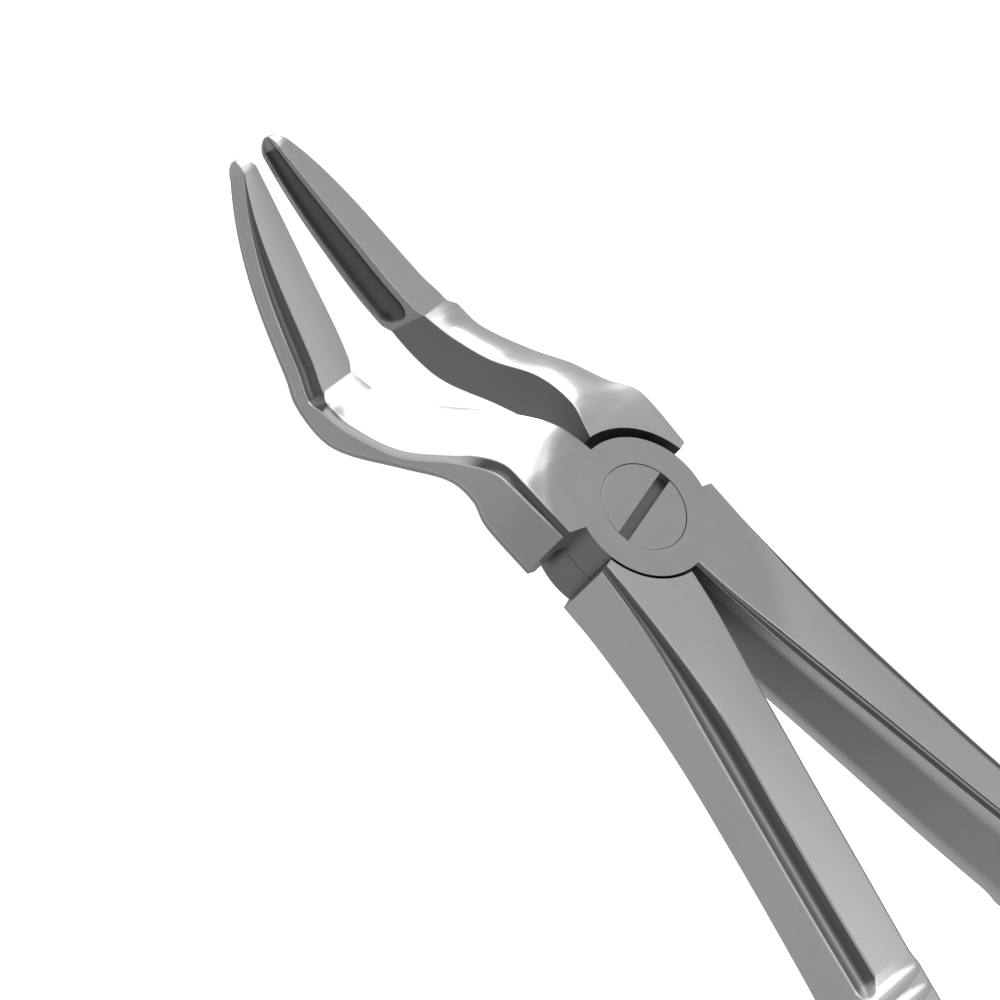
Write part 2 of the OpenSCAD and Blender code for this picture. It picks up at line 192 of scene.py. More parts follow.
def outline(rows, under, inner_n=INNER_N, low=None):
    """Points (out from the inner face, up from the bottom) of every row at once, with a name for
    each part of the outline: straight lines joined by quadratic corners whose middle control point
    is the outer corner when round and the cut-in corner when hollow. A lower corner with a bulge of
    its own, under, takes its size from the two columns of low."""
    w = rows[:, 5] - rows[:, 4]
    h = np.hypot(rows[:, 0] - rows[:, 2], rows[:, 1] - rows[:, 3])
    cw, ch, bulge, fall, crown, _, bevel, rise = rows[:, 6:14].T
    peak = h - fall

    def line(x0, y0, x1, y1, n, lift=0):
        t = np.linspace(0, 1, n)[None, :]
        x0, y0, x1, y1, lift = (np.broadcast_to(v, w.shape)[:, None] for v in (x0, y0, x1, y1, lift))
        return np.stack([x0 + (x1 - x0) * t, y0 + (y1 - y0) * t + lift * 4 * t * (1 - t)], -1)

    def bend(x0, y0, x1, y1, outer, inner, k, n):
        t = np.linspace(0, 1, n)[None, :, None]
        k = np.broadcast_to(k, w.shape)[:, None]
        pull = np.stack(outer, -1) * (1 + k) / 2 + np.stack(inner, -1) * (1 - k) / 2
        a, b = np.stack([x0, y0], -1), np.stack([x1, y1], -1)
        return a[:, None] * (1 - t) ** 2 + pull[:, None] * 2 * t * (1 - t) + b[:, None] * t**2

    edge, k, below = ("flute", bulge, bulge) if under < 0 else ("edge", 1, under)
    uw, uh = (cw, ch) if under < 0 else (1.8 * low[:, 0], 1.4 * low[:, 1])
    parts = [
        ("inner", line(0, h - bevel, 0, bevel, inner_n)),
        (edge, bend(0 * w, bevel, bevel, 0 * w, (0 * w, 0 * w), (bevel, bevel), k, CORNER_N)[:, 1:-1]),
        ("under", line(bevel, 0, w - uw, rise, FACE_N, -0.85 * crown)),
        ("flute", bend(w - uw, rise, w, rise + uh, (w, rise), (w - uw, rise + uh),
                       below, CORNER_N)[:, 1:-1]),
        ("flank", line(w, rise + uh, w, peak - ch, FLANK_N)),
        ("flute", bend(w, peak - ch, w - cw, peak, (w, peak), (w - cw, peak - ch),
                       bulge, CORNER_N)[:, 1:-1]),
        ("top", line(w - cw, peak, bevel, h, FACE_N, crown)),
        (edge, bend(bevel, h, 0 * w, h - bevel, (0 * w, h), (bevel, h - bevel), k, CORNER_N)[:, 1:-1])]
    names = np.concatenate([[n] * p.shape[1] for n, p in parts])
    return np.concatenate([p for _, p in parts], 1), names


def ease_corners(points, names, radius=0.12):
    """Swaps each corner between two named parts for three points of a quadratic curve that leaves
    and meets the sides at the given radius, or at under half of a shorter side."""
    n = len(names)
    starts = [k for k in range(n) if names[k] != names[k - 1] and "flute" in (names[k], names[k - 1])]
    corners = sorted(k if names[k - 1] == "flute" else (k - 1) % n for k in starts)
    out, tags, at = [], [], 0
    for k in corners:
        out.append(points[:, at:k])
        tags.append(names[at:k])
        p, a, b = points[:, k], points[:, k - 1], points[:, (k + 1) % n]
        da, db = a - p, b - p
        la, lb = (np.linalg.norm(d, axis=-1, keepdims=True) for d in (da, db))
        ra, rb = np.minimum(radius, 0.45 * la), np.minimum(radius, 0.45 * lb)
        ua, ub = da / la * ra, db / lb * rb
        out.append(np.stack([p + ua, p + (ua + ub) / 4, p + ub], 1))
        tags.append(np.array(["crest"] * 3))
        at = k + 1
    out.append(points[:, at:])
    tags.append(names[at:])
    return np.concatenate(out, 1), np.concatenate(tags)


HANDLE_BULGE, SHANK_BULGE = -0.6, 0.8
probe, probe_names = ease_corners(*outline(HANDLE_ROWS, HANDLE_BULGE))
print("a handle section has", probe.shape[1], "points:",
      dict(zip(*np.unique(probe_names, return_counts=True))))


# %% [markdown]
# ## From sections to a closed mesh
# Each outline is set upright on its row and mirrored to its side of the tool. Rings of quads join
# neighbouring outlines, and a dome of shrinking rings closes the far end. The finish of each spot and
# the light painted on it are stored beside the mesh as a colour: red for mirror polish, green for
# painted shade on the inner faces, blue for painted shade in the hollows with a painted light line,
# and alpha for a painted highlight on the crests, so a material can change along the forging without
# a picture.


# %%
def place(rows, q, side, shrink=1.0, ahead=(0.0, 0.0), centre=(0.5, 0.5)):
    """Outline points q into space: up runs from the row's bottom to its top point, out is ±Y. The
    domes draw the outline in towards the centre, given as shares of its width and height."""
    h = np.hypot(rows[:, 0] - rows[:, 2], rows[:, 1] - rows[:, 3])[:, None]
    up = (rows[:, 0:2] - rows[:, 2:4]) / h
    mid = np.stack([(rows[:, 5] - rows[:, 4]) * centre[0], h[:, 0] * centre[1]], -1)[:, None]
    q = mid + (q - mid) * shrink
    x = rows[:, 2:3] + up[:, 0:1] * q[..., 1] + ahead[0]
    z = rows[:, 3:4] + up[:, 1:2] * q[..., 1] + ahead[1]
    return np.stack([x, side * (rows[:, 4:5] + q[..., 0]), z], -1)


def tube_mesh(name, rings, finish_and_painted_light, side):
    """Closed tube: quads between neighbouring rings of the same length, and one fan at each end."""
    count, n = rings.shape[:2]
    co = np.concatenate([rings.reshape(-1, 3), rings[0].mean(0)[None], rings[-1].mean(0)[None]])
    fin = np.concatenate([finish_and_painted_light.reshape(-1, 4), finish_and_painted_light[0].mean(0)[None], finish_and_painted_light[-1].mean(0)[None]])
    k = np.arange(n)
    nxt = (k + 1) % n
    a = (np.arange(count - 1)[:, None] * n + k).ravel()
    b = (np.arange(count - 1)[:, None] * n + nxt).ravel()
    quads = np.stack([a, b, b + n, a + n], 1)
    first = np.stack([nxt, k, np.full(n, count * n)], 1)
    last = np.stack([(count - 1) * n + k, (count - 1) * n + nxt, np.full(n, count * n + 1)], 1)
    if side < 0:
        quads, first, last = quads[:, ::-1], first[:, ::-1], last[:, ::-1]
    loops = np.concatenate([quads.ravel(), first.ravel(), last.ravel()]).astype(np.int32)
    sizes = np.concatenate([np.full(len(quads), 4), np.full(2 * n, 3)]).astype(np.int32)
    mesh = bpy.data.meshes.new(name)
    mesh.vertices.add(len(co))
    mesh.vertices.foreach_set("co", to_row(co).astype(np.float32).ravel())
    mesh.loops.add(len(loops))
    mesh.loops.foreach_set("vertex_index", loops)
    mesh.polygons.add(len(sizes))
    starts = np.concatenate([[0], np.cumsum(sizes)[:-1]])
    mesh.polygons.foreach_set("loop_start", starts.astype(np.int32))
    mesh.polygons.foreach_set("loop_total", sizes)
    mesh.update(calc_edges=True)
    mesh.attributes.new("finish_and_painted_light", "FLOAT_COLOR", "CORNER")
    mesh.attributes["finish_and_painted_light"].data.foreach_set("color", fin[loops].astype(np.float32).ravel())
    mesh.polygons.foreach_set("use_smooth", np.ones(len(sizes), bool))
    mesh.validate()
    obj = bpy.data.objects.new(name, mesh)
    bpy.context.scene.collection.objects.link(obj)
    return obj


# %% [markdown]
# ## Finishes and painted light by region
# Hand instruments get several finishes. The broad faces are satin, and the swept shank is polished to
# a mirror so that tissue slides off. The flutes are painted dark with a painted light line along them,
# the inner faces and flanks get painted shade, and the crests get a painted highlight. Region values
# follow the outline's part names and the distance along the arm.


# %%
def finish_and_painted_light_of(names, x, kind, side=1):
    """(polish, inner, hollow, crest) for each ring and outline point. The polish covers the front
    half's shank, but only the inner part of the rear half's. Inner is painted shade on the inner
    faces, flanks and lower flutes, hollow is painted shade in the flutes with a painted light line
    across each, and crest is a painted highlight on the eased corners."""
    n = len(names)
    one = np.ones((len(x), n))
    inner = one * (names == "inner")
    across, upper = np.zeros(n), np.arange(n) > np.flatnonzero(names == "flank")[0]
    flutes = np.flatnonzero(names == "flute")
    for run in np.split(flutes, np.flatnonzero(np.diff(flutes) > 1) + 1):
        across[run] = np.linspace(0, 1, len(run)) if upper[run[0]] else np.linspace(1, 0, len(run))
    # Painted shade in the flutes, lifted by a painted light line 0.3 of the way across.
    hollow = one * (names == "flute") * (1 - 0.7 * np.exp(-((across - 0.3) / 0.09) ** 2))
    # Painted highlight on the eased corners; their lower roughness is their own.
    crest = one * np.isin(names, ("crest", "edge"))
    polish = 0 * one
    if kind == "shank":
        to_crease = np.arange(len(x)) - len(x) + 24
        runout = smooth(to_crease / 5)[:, None] + smooth((ROOT + 4 - x[:, None]) / 3)
        # Painted shade in the shank's upper flute, only near its root and near the crease.
        hollow = one * (names == "flute") * upper * np.clip(runout, 0, 1)
        share = 1
        if side < 0:
            top = np.flatnonzero(names == "top")
            share = smooth((np.interp(np.arange(n), [top[0] - 8, top[0], top[-1], top[-1] + 1],
                                      [0, 0, 1, 1]) - 0.3) / 0.45)
        polish = np.isin(names, ("top", "flute", "crest", "edge")) * upper * share * (1 - hollow)
        crest = 0 * one
    if kind != "handle":
        # Painted shade: full on the shank's inner face, half on the beak's, a quarter on the flanks, and
        # half more on the lower flutes.
        inner = inner * (1 if kind == "shank" else 0.5) + 0.25 * (names == "flank")
        inner = inner + 0.5 * (names == "flute") * ~upper
        hollow = hollow * upper
    else:
        # Painted shade on the handle's inner face, fading to half between 15 and 60 mm along it.
        inner = inner * (1 - 0.5 * smooth((-x[:, None] - 15) / 45))
    return np.stack([polish, inner, hollow, crest], -1)


# %% [markdown]
# ## Shank and beak
# The shank drops from the joint and meets the beak at a crisp crease, so the two are separate curves
# that share one row. The bite side of the beak is gouged: the hollow is the part of a round bar that
# sinks below the inner face, deepest on its centre line, and rounded at the end near the crease.

# %%
GROUND_R, GROUND_FADE, RIM_POINTS = 8.8, 2.4, 13


def faced(points, names, heights):
    """Lifts the top to each section's own height inside a circle round the hinge, where the joint
    was ground flat, and lets the lift die away over GROUND_FADE outside it."""
    away = np.hypot(points[..., 0], points[..., 1])
    near = 1 - smooth((away - GROUND_R) / GROUND_FADE)
    want = (heights[:, None] - points[..., 2]) * near * (points[..., 0] > 0)
    share = np.zeros(len(names))
    tops = np.flatnonzero(names == "top")
    share[tops] = 1
    rim = np.arange(tops[0] - 1, tops[0] - 1 - RIM_POINTS, -1)
    share[rim] = np.linspace(1, 0, len(rim))
    at = np.arange(len(names))
    at[rim] = tops[0]
    points[..., 2] += np.maximum(want[:, at], 0) * share
    return points


def gouge(rows, q, names, f):
    """Sinks the inner face by depth·(1 - d²) to the power 0.8, where d is the distance from the
    gouge's centre line, or from its round ends, in half widths. Also gives the painted shade that
    darkens the hollow."""
    h = np.hypot(rows[:, 0] - rows[:, 2], rows[:, 1] - rows[:, 3])[:, None]
    half = 0.36 * h + 0.03
    along = (f * (BEAK_LEN - TIP_R))[:, None]
    past = np.maximum(0, (0.5 + half) - along) + np.maximum(0, along - (BEAK_LEN - TIP_R - half + 0.8))
    d = np.hypot((q[..., 1] - 0.46 * h) / half, past / half)
    depth = GOUGE_DEPTH * (1 - 0.45 * f[:, None]) * np.clip(1 - d**2, 0, 1) ** 0.8
    inside = (names == "inner")[None]
    return np.stack([q[..., 0] + inside * depth, q[..., 1]], -1), inside * smooth((1.02 - d) / 0.16)


CORNER = slice(6, 9)
FLOWING = [2, 3, 5, 13]
TIP_ANGLES = np.radians([8, 16, 24, 32, 40, 48, 56, 63, 69, 75])


def shank_and_beak(name, side):
    """The tube along the shank's rows and then the beak's, closed by a rounded tip. The bottom, the
    outer distance and the underside's rise flow on past the crease, and all else breaks at it."""
    u = np.concatenate([np.linspace(0, 2, 24)[:-1], np.linspace(2, CREASE, 150)])
    rounded = SHANK_ROWS.copy()
    rounded[-1, CORNER] = rounded[-2, CORNER]
    shank = curve_at(rounded, u)
    shank[:, 1] = np.minimum(shank[:, 1], JOINT_T)
    runout = smooth((u - 7.25) / 0.75)[:, None]
    shank[:, CORNER] += (BEAK_ROWS[0, CORNER] * [1.35, 1.15, 1] - shank[:, CORNER]) * runout
    flowing = curve_at(np.vstack([SHANK_ROWS, BEAK_ROWS[1:]]), u)
    shank[:, FLOWING] = flowing[:, FLOWING]
    f = np.linspace(0, 1, 150)
    beak = np.array([beak_row(v) for v in f])
    knee = np.clip(np.searchsorted(SHARES, f, "right") - 1, 0, len(SHARES) - 2)
    at = CREASE + knee + (f - SHARES[knee]) / (SHARES[knee + 1] - SHARES[knee])
    bent = curve_at(np.vstack([SHANK_ROWS, BEAK_ROWS[1:]]), at)
    early = smooth(f / 0.3)[:, None]
    beak[:, FLOWING] = bent[:, FLOWING] * (1 - early) + beak[:, FLOWING] * early
    beak[:, 6] *= 1.35 * (1 - 0.9 * f**3)
    beak[:, 7] *= 1.15 * (1 - 0.9 * f**3)
    beak[:, 4] -= 0.22 * smooth(f / 0.05) * (1 - smooth((f - 0.1) / 0.4))
    low = bent[:, 6:8] * (1 - early) + [beak_row(v)[6:8] for v in f] * early
    q0, names = ease_corners(*outline(shank, SHANK_BULGE, low=flowing[:, 6:8]))
    q1, _ = ease_corners(*outline(beak, SHANK_BULGE, low=low * (1 - 0.4 * f[:, None])))
    q1, dark = gouge(beak, q1, names, f)
    fin0 = finish_and_painted_light_of(names, shank[:, 0], "shank", side)
    fin1 = finish_and_painted_light_of(names, beak[:, 0], "beak")
    # The gouge's painted shade goes into the hollow channel.
    fin1[..., 2] = np.maximum(fin1[..., 2], dark)
    tilt = math.radians(BEAK_TILT)
    dome = [(math.cos(a), math.sin(a)) for a in TIP_ANGLES]
    tip = [place(beak[-1:], q1[-1:], side, np.array([(1 - 0.35 * s) * c, (1 - 0.16 * s) * c]),
                 (0.97 * TIP_R * s * math.cos(tilt), 0.97 * TIP_R * s * math.sin(tilt)), (0.4, 0.42))
           for c, s in dome]
    root = faced(place(shank, q0, side), names, shank[:, 1])
    rings = np.concatenate([root, place(beak, q1, side)[1:], *tip])
    # The tip's dome keeps less painted shade than the beak's last ring.
    fin = np.concatenate([fin0, fin1[1:], np.repeat(fin1[-1:] * [1, 0.4, 0.4, 1], len(dome), 0)])
    return tube_mesh(name, rings, fin, side)


# %% [markdown]
# ## Handle and grip
# Two lens-shaped ribs open the grip and stop a wet glove from sliding forward. Behind them the front,
# rear and outer faces are knurled: two families of slanting grooves leave rows of small diamonds.

# %%
KNURL_START, KNURL_END, KNURL_PITCH, KNURL_H = 54.4, HANDLE_LEN - 9, 1.25, 0.16


def grip_lift(rows, q, names):
    """Height above the plain handle: two parabolic ribs that narrow towards their ends, then
    diamonds, the lesser of two slanted sawtooth waves, faded out near each face's edges."""
    x = -rows[:, 0:1]
    lift = np.zeros((len(rows), len(names)))
    first, last = np.flatnonzero(names == "under")[0], np.flatnonzero(names == "top")[-1]
    wrap = np.arange(first, last + 1)
    t = np.linspace(0, 1, len(wrap))[None]
    lens = np.clip(np.abs(np.sin(2 * np.pi * t)) * 1.25, 0, 1) ** 0.6
    for k in range(2):
        d = (x - RIB_START - k * RIB_PITCH) / (0.25 + 0.34 * RIB_PITCH * lens)
        lift[:, wrap] += RIB_H * np.clip(1 - d**2, 0, 1) * (0.15 + 0.85 * lens)
    for part in ("top", "under", "flank"):
        at = names == part
        t = np.linspace(0, 1, at.sum())[None]
        across = q[:, at, 0] if part != "flank" else q[:, at, 1]
        a = (x + across) / KNURL_PITCH
        b = (x - across) / KNURL_PITCH
        ridge = np.minimum(np.abs((a % 1) - 0.5), np.abs((b % 1) - 0.5)) * 2
        rim = smooth(np.minimum(t, 1 - t) / 0.1)
        run = smooth((x - KNURL_START) / 0.8) * smooth((KNURL_END - x) / 0.8)
        lift[:, at] -= KNURL_H * (1 - smooth(ridge / 0.7)) * rim * run
    return lift


GRIP_CORNER = np.array([0.8, 0.8, 0.7, 0.5])
CORNER_AND_BEVEL = [6, 7, 8, 12]
END_ANGLES = np.radians([8, 16, 24, 32, 40, 48, 56, 64, 72, 75])


def handle(name, side):
    """The tube along the handle's rows, finer under the ribs and the knurling, with a round end.
    The flutes and bevels close just before the ribs, so the grip has full, eased corners."""
    span = HANDLE_LEN - END_R
    finer = RIB_START - 2
    x = np.concatenate([np.linspace(0, finer, 90)[:-1], np.linspace(finer, KNURL_START, 46)[:-1],
                        np.linspace(KNURL_START, span, 250)])
    rows = curve_at(HANDLE_ROWS, x / span * (len(HANDLE_ROWS) - 1))
    shut = smooth((x - RIB_START) / RIB_PITCH + 1.0)[:, None]
    rows[:, CORNER_AND_BEVEL] += (GRIP_CORNER - rows[:, CORNER_AND_BEVEL]) * shut
    q, names = ease_corners(*outline(rows, HANDLE_BULGE, inner_n=6))
    lift = grip_lift(rows, q, names)
    run = np.roll(q, -1, 1) - np.roll(q, 1, 1)
    way = np.stack([run[..., 1], -run[..., 0]], -1)
    q = q + lift[..., None] * way / np.maximum(np.linalg.norm(way, axis=-1, keepdims=True), 1e-9)
    fin = finish_and_painted_light_of(names, rows[:, 0], "handle")
    fin[..., 2] *= 1 - shut
    fin[..., 0] = np.clip(np.maximum(lift, 0) / 0.12, 0, 1)
    dome = [(math.cos(a), math.sin(a)) for a in END_ANGLES]
    end = [place(rows[-1:], q[-1:], side, c, (-END_R * s, 0)) for c, s in dome]
    rings = np.concatenate([place(rows, q, side), *end])
    return tube_mesh(name, rings, np.concatenate([fin, np.repeat(fin[-1:], len(dome), 0)]), -side)


# %% [markdown]
# ## Turned shapes and cutters
# The round plates, the bores and the screw are turned on a lathe, so each is a profile spun round
# the hinge axis. The shoulders are milled, so their cutters are plain blocks. Cutting and joining
# with Boolean modifiers keeps the flat faces truly flat.


# %%
# Radius of the pinhole that a turned shape keeps on its axis, which its end fans close.
TINY = 0.01


def spun(name, profile, turns=192, dark=None):
    """Surface of revolution round Z: the profile is (radius, height) points from axis to axis, and
    dark is how much painted shade each of them gets, in the inner channel."""
    r, z = np.array(profile, float).T
    ang = np.arange(turns) * 2 * math.pi / turns
    rings = np.stack([r[:, None] * np.cos(ang), r[:, None] * np.sin(ang), z[:, None] + 0 * ang], -1)
    finish_and_painted_light = np.zeros(rings.shape[:2] + (4,))
    finish_and_painted_light[..., 1] = 0 if dark is None else np.array(dark, float)[:, None]
    return tube_mesh(name, rings, finish_and_painted_light, 1)


# A cutter's colour passes to the walls it cuts, so the default 0.7 in the inner channel is painted shade
# on the cut shoulders.
def block(name, corner, size, turn, finish_and_painted_light=(0, 0.7, 0, 0)):
    """A box from its corner, turned about Z by that many degrees: a four-point ring carried up."""
    x, y, z = corner
    a, b, c = size
    ring = np.array([[x, y], [x + a, y], [x + a, y + b], [x, y + b]])
    t = math.radians(turn)
    ring = ring @ np.array([[math.cos(t), math.sin(t)], [-math.sin(t), math.cos(t)]])
    rings = np.stack([np.column_stack([ring, np.full(4, h)]) for h in (z, z + c)])
    return tube_mesh(name, rings, np.broadcast_to(np.array(finish_and_painted_light, float), (2, 4, 4)), 1)


def combine(target, other, operation):
    """Applies one Boolean of two closed meshes and throws the second away."""
    mod = target.modifiers.new("combine", "BOOLEAN")
    mod.operation, mod.object, mod.solver = operation, other, "MANIFOLD"
    bpy.context.view_layer.update()
    result = bpy.data.meshes.new_from_object(target.evaluated_get(bpy.context.evaluated_depsgraph_get()))
    target.modifiers.clear()
    old, target.data = target.data, result
    bpy.data.meshes.remove(old)
    bpy.data.objects.remove(other)
    return target


def plate(name, z0, z1):
    """A round joint plate. Its rim carries painted shade, darker than its faces, and is broken only
    where it runs against the other plate, because its outer face is ground level with the arms."""
    edge, line = 0.06, 0.02
    low, high = (0, edge) if z0 < 1 else (edge, 0)
    return spun(name, [(TINY, z0), (PLATE_R - low - line, z0), (PLATE_R - low, z0),
                       (PLATE_R, z0 + low + line), (PLATE_R, z1 - high - line), (PLATE_R - high, z1),
                       (PLATE_R - high - line, z1), (TINY, z1)],
                dark=[0, 0, 0.8, 1, 1, 0.8, 0, 0])


def bar(name, radius, z0, z1, dark=None):
    """A plain round cutter on the hinge axis."""
    return spun(name, [(TINY, z0), (radius, z0), (radius, z1), (TINY, z1)], dark=dark)


# BIG reaches past the whole tool, HAIR lifts a face off its neighbour's plane before they are joined,
# and FAR_CUT is where a plate's cutter leaves the tool.
BIG = 60
HAIR = 0.002
FAR_CUT = 20


def half(name, side, cut_z0, cut_z1, plate_z):
    """One forging: its arms trimmed by the shoulders and the other plate's room, then its plate."""
    shank = shank_and_beak(name + "_shank", side)
    combine(shank, block("a", (-BIG, 0 if side > 0 else -BIG, -BIG / 2), (BIG, BIG, BIG),
                         -SHOULDER_ANGLE * side), "DIFFERENCE")
    # The cutters for the other plate's room give the walls they cut full painted shade.
    combine(shank, bar("b", PLATE_R + SHANK_SHOULDER_GAP, cut_z0, cut_z1, [1] * 4), "DIFFERENCE")
    arm = handle(name + "_handle", -side)
    combine(arm, block("c", (0, -BIG if side > 0 else 0, -BIG / 2), (BIG, BIG, BIG),
                       -SHOULDER_ANGLE * side), "DIFFERENCE")
    combine(arm, bar("d", PLATE_R + HANDLE_SHOULDER_GAP, cut_z0, cut_z1, [1] * 4), "DIFFERENCE")
    combine(arm, shank, "UNION")
    combine(arm, plate("e", *plate_z), "UNION")
    arm.name = name
    return arm


front = half("front_half_steel", 1, -FAR_CUT, LAP_Z, (LAP_Z, JOINT_T + HAIR))
combine(front, bar("bore", SHOULDER_D / 2 + PIVOT_CLEARANCE, -1, JOINT_T + 1), "DIFFERENCE")
combine(front, bar("seat", HEAD_D / 2 + PIVOT_CLEARANCE, JOINT_T - HEAD_T - LAP_GAP, JOINT_T + 1),
        "DIFFERENCE")
rear = half("rear_half_steel", -1, REAR_PLATE_T, FAR_CUT, (-HAIR, REAR_PLATE_T))
combine(rear, bar("thread", THREAD_D / 2, -1, REAR_PLATE_T + 1), "DIFFERENCE")
for o in (front, rear):
    print(o.name, len(o.data.vertices), "vertices", len(o.data.polygons), "faces")

# %% [markdown]
# ## The pivot screw
# The screw is turned too: a thread end, the shoulder that is the hinge pin, and a wide flat head
# that sits flush in its seat. The hair of room round the head is what shows as a fine dark ring.

# %%
HEAD_R, THREAD_R, SHOULDER_R = HEAD_D / 2 - 0.01, THREAD_D / 2 - 0.02, SHOULDER_D / 2
HEAD_Z = JOINT_T - HEAD_T
screw = spun("pivot_screw_steel", [
    (TINY, 0.02), (THREAD_D / 2 - 0.12, 0.02), (THREAD_R, 0.12), (THREAD_R, REAR_PLATE_T),
    (SHOULDER_R, REAR_PLATE_T), (SHOULDER_R, HEAD_Z), (HEAD_R - 0.08, HEAD_Z), (HEAD_R, HEAD_Z + 0.08),
    (HEAD_R, JOINT_T - 0.05), (HEAD_R - 0.05, JOINT_T), (TINY, JOINT_T)])
# Painted shade in the slot, through the hollow channel.
slot_painted_shade = (0, 0, 0.8, 0)
combine(screw, block("slot", (-HEAD_D, -SLOT_W / 2, JOINT_T - SLOT_DEPTH), (2 * HEAD_D, SLOT_W, 3),
                     SLOT_ANGLE, slot_painted_shade), "DIFFERENCE")
print("screw", len(screw.data.polygons), "faces")

# %% [markdown]
# ## Shading the edges
# A forging shades smoothly along its swept faces and breaks sharply at its ground edges. Edges
# sharper than the angle given are marked sharp, and weighted normals keep the broad flat faces
# flat right up to the tiny curves at their edges.

# %%
AXIS = to_row([0, 0, 1]) * 1000
LEVEL, CRISP_ANGLE = 0.999999, 34
for piece in (front, rear, screw):
    normals = np.empty(len(piece.data.polygons) * 3)
    piece.data.polygons.foreach_get("normal", normals)
    level = np.abs(normals.reshape(-1, 3) @ AXIS) > LEVEL
    piece.data.polygons.foreach_set("use_smooth", ~level)
    print(piece.name, level.sum(), "level faces are shaded flat")
    piece.data.set_sharp_from_angle(angle=math.radians(CRISP_ANGLE))
    keep = piece.modifiers.new("flat faces stay flat", "WEIGHTED_NORMAL")
    keep.mode, keep.weight, keep.keep_sharp = "FACE_AREA", 50, True

# %% [markdown]
# ## Node helpers
# Small functions keep the node trees readable: one adds a node, the other links a socket or sets a
# constant. Group sockets are made once, with names that say what they carry.


# %%
def node(tree, kind, **inputs):
    """Adds a node and fills its inputs by name: a socket is linked, anything else is a value."""
    made = tree.nodes.new(kind)
    for key, value in inputs.items():
        if key.startswith("p_"):
            setattr(made, key[2:], value)
            continue
        numbered = key[0] == "i" and key[1:].isdigit()
        socket = made.inputs[int(key[1:]) if numbered else key.replace("_", " ")]
        if isinstance(value, bpy.types.NodeSocket):
            tree.links.new(value, socket)
        else:
            socket.default_value = value
    return made


def maths(tree, operation, a, b=0.0, clamp=False):
    """One Math node and its result."""
    made = node(tree, "ShaderNodeMath", p_operation=operation, p_use_clamp=clamp, i0=a, i1=b)
    return made.outputs[0]


def blend(tree, share, a, b, kind="FLOAT"):
    """One Mix node: a where share is 0, b where it is 1."""
    made = node(tree, "ShaderNodeMix", p_data_type=kind)
    slots = {"FLOAT": (2, 3, 0), "RGBA": (6, 7, 2)}[kind]
    for at, value in ((0, share), (slots[0], a), (slots[1], b)):
        socket = made.inputs[at]
        if isinstance(value, bpy.types.NodeSocket):
            tree.links.new(value, socket)
        else:
            socket.default_value = value
    return made.outputs[slots[2]]


def new_group(name, ins, outs):
    """An empty shader group with float, vector or colour sockets, and its two end nodes."""
    group = bpy.data.node_groups.new(name, "ShaderNodeTree")
    kinds = {"f": "NodeSocketFloat", "v": "NodeSocketVector", "c": "NodeSocketColor"}
    for label, kind, value in ins:
        socket = group.interface.new_socket(label, in_out="INPUT", socket_type=kinds[kind])
        if value is not None:
            socket.default_value = value
    for label, kind in outs:
        group.interface.new_socket(label, in_out="OUTPUT", socket_type=kinds[kind])
    return group, group.nodes.new("NodeGroupInput"), group.nodes.new("NodeGroupOutput")


def use_group(tree, group, **inputs):
    """Places a group in a tree with its own values."""
    made = tree.nodes.new("ShaderNodeGroup")
    made.node_tree = group
    for key, value in inputs.items():
        socket = made.inputs[key.replace("_", " ")]
        if isinstance(value, bpy.types.NodeSocket):
            tree.links.new(value, socket)
        else:
            socket.default_value = value
    return made


# %% [markdown]
# ## Brushed grain
# A belt leaves fine scratches along the arm. Noise stretched forty times along one direction gives
# them: the vector is squeezed along the grain before it is read. Two scales, one fine and one broad,
# keep the grain from looking like corduroy.

# %%
grain, gin, gout = new_group("Brushed grain", [("Vector", "v", None), ("Fineness", "f", 9000.0),
                                               ("Stretch", "f", 0.025)],
                             [("Height", "f"), ("Streak", "f")])
squeeze = node(grain, "ShaderNodeCombineXYZ", X=gin.outputs["Stretch"], Y=1.0, Z=1.0)
along = node(grain, "ShaderNodeVectorMath", p_operation="MULTIPLY", i0=gin.outputs["Vector"],
             i1=squeeze.outputs[0])
fine = node(grain, "ShaderNodeTexNoise", Vector=along.outputs[0], Scale=gin.outputs["Fineness"],
            Detail=3.0, Roughness=0.6)
broad = node(grain, "ShaderNodeTexNoise", Vector=along.outputs[0],
             Scale=maths(grain, "MULTIPLY", gin.outputs["Fineness"], 0.16), Detail=4.0, Roughness=0.55)
grain.links.new(fine.outputs["Fac"], gout.inputs["Height"])
grain.links.new(maths(grain, "ADD", maths(grain, "MULTIPLY", fine.outputs["Fac"], 0.45),
                      maths(grain, "MULTIPLY", broad.outputs["Fac"], 0.55)), gout.inputs["Streak"])
print("brushed grain:", len(grain.nodes), "nodes")

# %% [markdown]
# ## Handling marks
# Steel that has been wiped and sterilised is never quite even: faint clouds where a cloth passed,
# and a few tiny specks. The clouds change the roughness and, very slightly, the brightness.

# %%
marks, gin, gout = new_group("Handling marks", [("Vector", "v", None), ("Size", "f", 90.0)],
                             [("Cloud", "f"), ("Speck", "f")])
cloud = node(marks, "ShaderNodeTexNoise", Vector=gin.outputs["Vector"], Scale=gin.outputs["Size"],
             Detail=4.0, Roughness=0.5)
grit = node(marks, "ShaderNodeTexVoronoi", Vector=gin.outputs["Vector"],
            Scale=maths(marks, "MULTIPLY", gin.outputs["Size"], 14.0))
dot = node(marks, "ShaderNodeMapRange", Value=grit.outputs["Distance"], i1=0.03, i2=0.07, i3=1.0, i4=0.0)
rare = node(marks, "ShaderNodeMapRange", Value=cloud.outputs["Fac"], i1=0.58, i2=0.66, i3=0.0, i4=1.0)
marks.links.new(cloud.outputs["Fac"], gout.inputs["Cloud"])
marks.links.new(maths(marks, "MULTIPLY", dot.outputs[0], rare.outputs[0]), gout.inputs["Speck"])
print("handling marks:", len(marks.nodes), "nodes")

